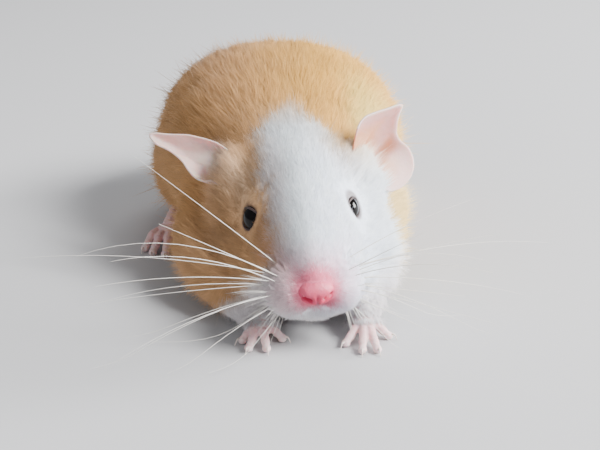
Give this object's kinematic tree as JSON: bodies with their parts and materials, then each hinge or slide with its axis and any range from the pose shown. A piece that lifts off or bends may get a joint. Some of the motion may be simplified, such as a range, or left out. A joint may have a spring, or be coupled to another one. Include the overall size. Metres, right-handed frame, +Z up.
{
  "type": "fancy rat",
  "caption": "Life-size still model of a young fancy rat crouched on all fours, with a fawn back, a white face, pink ears, paws and tail, and long white whiskers.",
  "frame": {"origin": "on the floor, under the middle of the model's box", "axes": "+Z up; the animal's head points along -Y and its left side is at +X"},
  "size_m": [0.0876, 0.146, 0.0381],
  "materials": {
    "fawn_coat": "soft short fur, fawn",
    "white_coat": "soft short fur, white",
    "bare_skin": "bare pink skin, finely wrinkled, with sparse down",
    "nose_skin": "moist pink skin",
    "eye": "wet, very dark, glossy",
    "whisker": "smooth white hair",
    "claw": "clear pale horn"
  },
  "bodies": {
    "root": {"head": "white_coat", "jaw": "white_coat", "nose": "nose_skin", "whisker_pad_left": "white_coat", "whisker_pad_right": "white_coat", "eye_left": "eye", "eye_right": "eye", "ear_left": "bare_skin", "ear_right": "bare_skin", "neck": "fawn_coat", "chest": "fawn_coat", "loin": "fawn_coat", "rump": "fawn_coat", "foreleg_left": "fawn_coat", "foreleg_right": "fawn_coat", "hindleg_left": "fawn_coat", "hindleg_right": "fawn_coat", "forepaw_left": "bare_skin", "forepaw_right": "bare_skin", "hindfoot_left": "bare_skin", "hindfoot_right": "bare_skin", "tail_1": "bare_skin", "tail_2": "bare_skin", "tail_3": "bare_skin", "tail_4": "bare_skin"}
  },
  "joints": []
}
